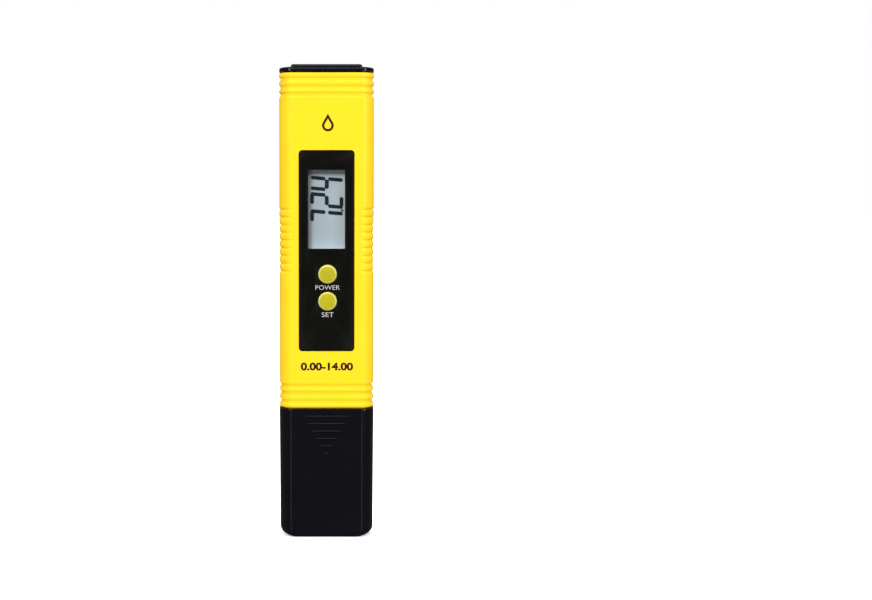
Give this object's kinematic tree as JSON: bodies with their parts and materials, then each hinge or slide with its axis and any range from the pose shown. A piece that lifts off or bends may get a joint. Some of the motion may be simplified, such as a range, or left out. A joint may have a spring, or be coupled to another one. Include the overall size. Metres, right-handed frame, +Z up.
{
  "type": "ph test pen",
  "caption": "Flat handheld pH test pen with ribbed two-shell casing, display window, two round keys, pull-off battery cap and pull-off electrode cap.",
  "frame": {"origin": "centre of the electrode cap's flat bottom, at the middle of the bounding box in X and Y; the pen stands upright on z = 0", "axes": "+Z up along the pen from the electrode cap to the battery cap; the display and keys face -Y; +X is to the right seen from the front"},
  "size_m": [0.03, 0.0157, 0.15],
  "materials": {
    "yellow_plastic": "glossy moulded ABS, bright yellow",
    "black_plastic": "satin moulded ABS, black",
    "panel_film": "satin printed polycarbonate film, black",
    "key_plastic": "olive-yellow moulded key, satin",
    "lens_clear": "clear acrylic window",
    "polariser_film": "grey polarising film",
    "lcd_glass": "grey-green liquid crystal cell with dark digits",
    "reflector_film": "satin reflective film",
    "frame_plastic": "white moulded frame",
    "zebra_rubber": "layered conductive silicone",
    "board_laminate": "green solder mask on glass-epoxy laminate",
    "epoxy_black": "black potting epoxy",
    "chip_black": "black moulding compound with tinned legs",
    "plated_metal": "bright tinned or nickel-plated steel",
    "capacitor_sleeve": "dark blue sleeve",
    "switch_black": "black switch plastic",
    "steel_screw": "zinc-plated steel",
    "holder_black": "black moulded carrier",
    "cell_steel": "nickel-plated steel can",
    "lead_red": "red PVC insulation",
    "lead_black": "black PVC insulation",
    "lead_white": "white PVC insulation",
    "seal_rubber": "black nitrile rubber",
    "electrode_tube": "grey translucent tube",
    "bulb_glass": "thin clear pH glass",
    "junction_ceramic": "white porous ceramic",
    "silver_metal": "silver wire",
    "reference_metal": "dark chlorided silver wire",
    "plug_rubber": "dark red sealing plug"
  },
  "bodies": {
    "storage_cap": {"electrode_cap": "black_plastic"},
    "casing": {"front_shell": "yellow_plastic", "rear_shell": "yellow_plastic", "face_overlay": "panel_film", "display_lens": "lens_clear", "lcd_front_polariser": "polariser_film", "lcd_glass": "lcd_glass", "lcd_reflector": "reflector_film", "lcd_frame": "frame_plastic", "zebra_strip_left": "zebra_rubber", "zebra_strip_right": "zebra_rubber", "circuit_board": "board_laminate", "controller_blob": "epoxy_black", "amplifier_chip": "chip_black", "crystal_can": "plated_metal", "filter_capacitor": "capacitor_sleeve", "power_switch_base": "switch_black", "power_switch_cover": "plated_metal", "cal_switch_base": "switch_black", "cal_switch_cover": "plated_metal", "board_screw_1": "steel_screw", "board_screw_2": "steel_screw", "board_screw_3": "steel_screw", "board_screw_4": "steel_screw", "battery_holder": "holder_black", "cell_1": "cell_steel", "cell_2": "cell_steel", "battery_spring": "plated_metal", "battery_contact": "plated_metal", "battery_lead_positive": "lead_red", "battery_lead_negative": "lead_black", "electrode_guard": "black_plastic", "electrode_body": "electrode_tube", "glass_bulb": "bulb_glass", "reference_junction": "junction_ceramic", "silver_wire": "silver_metal", "reference_wire": "reference_metal", "electrode_plug": "plug_rubber", "signal_lead": "lead_white", "reference_lead": "lead_black", "cap_seal_ring": "seal_rubber"},
    "power_key": {"power_button": "key_plastic", "power_switch_plunger": "switch_black"},
    "cal_key": {"cal_button": "key_plastic", "cal_switch_plunger": "switch_black"},
    "battery_lid": {"battery_cap": "black_plastic", "battery_cap_gasket": "seal_rubber"}
  },
  "joints": [
    {"name": "electrode_cap_pull", "type": "slide", "parent": "storage_cap", "child": "casing", "axis": [0, 0, 1], "range_m": [0, 0.045]},
    {"name": "battery_cap_pull", "type": "slide", "parent": "casing", "child": "battery_lid", "axis": [0, 0, 1], "range_m": [0, 0.02]},
    {"name": "power_button_press", "type": "slide", "parent": "casing", "child": "power_key", "axis": [0, 1, 0], "range_m": [0, 0.0005], "stiffness_N_per_m": 1500},
    {"name": "cal_button_press", "type": "slide", "parent": "casing", "child": "cal_key", "axis": [0, 1, 0], "range_m": [0, 0.0005], "stiffness_N_per_m": 1500}
  ]
}
